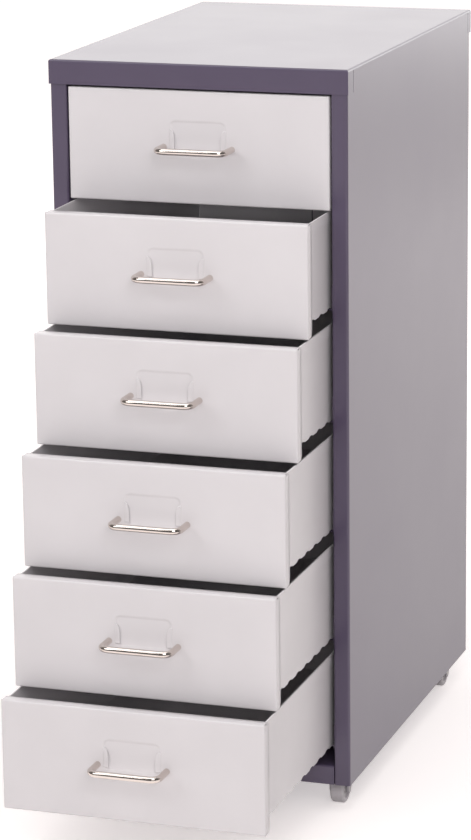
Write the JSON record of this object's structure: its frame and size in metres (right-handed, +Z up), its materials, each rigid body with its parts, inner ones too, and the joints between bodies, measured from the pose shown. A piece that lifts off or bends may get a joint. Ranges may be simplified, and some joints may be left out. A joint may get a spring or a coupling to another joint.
{
  "type": "drawer_cabinet",
  "caption": "Small metal drawer cabinet on swivel castors, grey case with a stack of white sheet-steel drawers, bow handles and pressed label holders",
  "frame": {"origin": "On the floor, under the middle of the box round the whole cabinet as it stands with its drawers part open.", "axes": "+Z up; the drawer fronts face -Y and the drawers pull out along -Y; +X is to the right as seen from the front."},
  "size_m": [0.28, 0.643, 0.687],
  "materials": {
    "case_paint": "smooth satin grey powder paint",
    "drawer_paint": "smooth semi-gloss white paint",
    "handle_chrome": "bright plated round bar",
    "zinc_steel": "zinc-plated fasteners, pins and stems",
    "runner_steel": "folded strips in the case's grey paint",
    "castor_plastic": "moulded grey nylon forks",
    "wheel_plastic": "moulded grey wheels"
  },
  "bodies": {
    "case": {"top_panel": "case_paint", "left_side_panel": "case_paint", "right_side_panel": "case_paint", "back_panel": "case_paint", "base_panel": "case_paint", "back_screws": "zinc_steel", "castor_nuts": "zinc_steel", "castor_mounts": "zinc_steel", "runner_left_1": "runner_steel", "runner_right_1": "runner_steel", "runner_left_2": "runner_steel", "runner_right_2": "runner_steel", "runner_left_3": "runner_steel", "runner_right_3": "runner_steel", "runner_left_4": "runner_steel", "runner_right_4": "runner_steel", "runner_left_5": "runner_steel", "runner_right_5": "runner_steel", "runner_left_6": "runner_steel", "runner_right_6": "runner_steel"},
    "drawer_1": {"drawer_front_1": "drawer_paint", "drawer_tray_1": "drawer_paint", "drawer_handle_1": "handle_chrome", "handle_screws_1": "zinc_steel"},
    "drawer_2": {"drawer_front_2": "drawer_paint", "drawer_tray_2": "drawer_paint", "drawer_handle_2": "handle_chrome", "handle_screws_2": "zinc_steel"},
    "drawer_3": {"drawer_front_3": "drawer_paint", "drawer_tray_3": "drawer_paint", "drawer_handle_3": "handle_chrome", "handle_screws_3": "zinc_steel"},
    "drawer_4": {"drawer_front_4": "drawer_paint", "drawer_tray_4": "drawer_paint", "drawer_handle_4": "handle_chrome", "handle_screws_4": "zinc_steel"},
    "drawer_5": {"drawer_front_5": "drawer_paint", "drawer_tray_5": "drawer_paint", "drawer_handle_5": "handle_chrome", "handle_screws_5": "zinc_steel"},
    "drawer_6": {"drawer_front_6": "drawer_paint", "drawer_tray_6": "drawer_paint", "drawer_handle_6": "handle_chrome", "handle_screws_6": "zinc_steel"},
    "swivel_front_left": {"castor_fork_front_left": "castor_plastic", "castor_axle_front_left": "zinc_steel"},
    "wheel_front_left": {"castor_wheel_front_left": "wheel_plastic"},
    "swivel_front_right": {"castor_fork_front_right": "castor_plastic", "castor_axle_front_right": "zinc_steel"},
    "wheel_front_right": {"castor_wheel_front_right": "wheel_plastic"},
    "swivel_rear_left": {"castor_fork_rear_left": "castor_plastic", "castor_axle_rear_left": "zinc_steel"},
    "wheel_rear_left": {"castor_wheel_rear_left": "wheel_plastic"},
    "swivel_rear_right": {"castor_fork_rear_right": "castor_plastic", "castor_axle_rear_right": "zinc_steel"},
    "wheel_rear_right": {"castor_wheel_rear_right": "wheel_plastic"}
  },
  "joints": [
    {"name": "drawer_1_slide", "type": "slide", "parent": "case", "child": "drawer_1", "axis": [0, -1, 0], "range_m": [0, 0.29]},
    {"name": "drawer_2_slide", "type": "slide", "parent": "case", "child": "drawer_2", "axis": [0, -1, 0], "range_m": [-0.064, 0.226]},
    {"name": "drawer_3_slide", "type": "slide", "parent": "case", "child": "drawer_3", "axis": [0, -1, 0], "range_m": [-0.0965, 0.1935]},
    {"name": "drawer_4_slide", "type": "slide", "parent": "case", "child": "drawer_4", "axis": [0, -1, 0], "range_m": [-0.1335, 0.1565]},
    {"name": "drawer_5_slide", "type": "slide", "parent": "case", "child": "drawer_5", "axis": [0, -1, 0], "range_m": [-0.1625, 0.1275]},
    {"name": "drawer_6_slide", "type": "slide", "parent": "case", "child": "drawer_6", "axis": [0, -1, 0], "range_m": [-0.197, 0.093]},
    {"name": "swivel_front_left_turn", "type": "hinge", "parent": "case", "child": "swivel_front_left", "pos_m": [-0.1215, -0.0625, 0.034], "axis": [0, 0, 1], "continuous": true},
    {"name": "wheel_front_left_roll", "type": "hinge", "parent": "swivel_front_left", "child": "wheel_front_left", "pos_m": [-0.1215, -0.0705, 0.0135], "axis": [1, 0, 0], "continuous": true},
    {"name": "swivel_front_right_turn", "type": "hinge", "parent": "case", "child": "swivel_front_right", "pos_m": [0.1215, -0.0625, 0.034], "axis": [0, 0, 1], "continuous": true},
    {"name": "wheel_front_right_roll", "type": "hinge", "parent": "swivel_front_right", "child": "wheel_front_right", "pos_m": [0.1215, -0.0705, 0.0135], "axis": [1, 0, 0], "continuous": true},
    {"name": "swivel_rear_left_turn", "type": "hinge", "parent": "case", "child": "swivel_rear_left", "pos_m": [-0.1215, 0.2855, 0.034], "axis": [0, 0, 1], "continuous": true},
    {"name": "wheel_rear_left_roll", "type": "hinge", "parent": "swivel_rear_left", "child": "wheel_rear_left", "pos_m": [-0.1215, 0.2775, 0.0135], "axis": [1, 0, 0], "continuous": true},
    {"name": "swivel_rear_right_turn", "type": "hinge", "parent": "case", "child": "swivel_rear_right", "pos_m": [0.1215, 0.2855, 0.034], "axis": [0, 0, 1], "continuous": true},
    {"name": "wheel_rear_right_roll", "type": "hinge", "parent": "swivel_rear_right", "child": "wheel_rear_right", "pos_m": [0.1215, 0.2775, 0.0135], "axis": [1, 0, 0], "continuous": true}
  ]
}
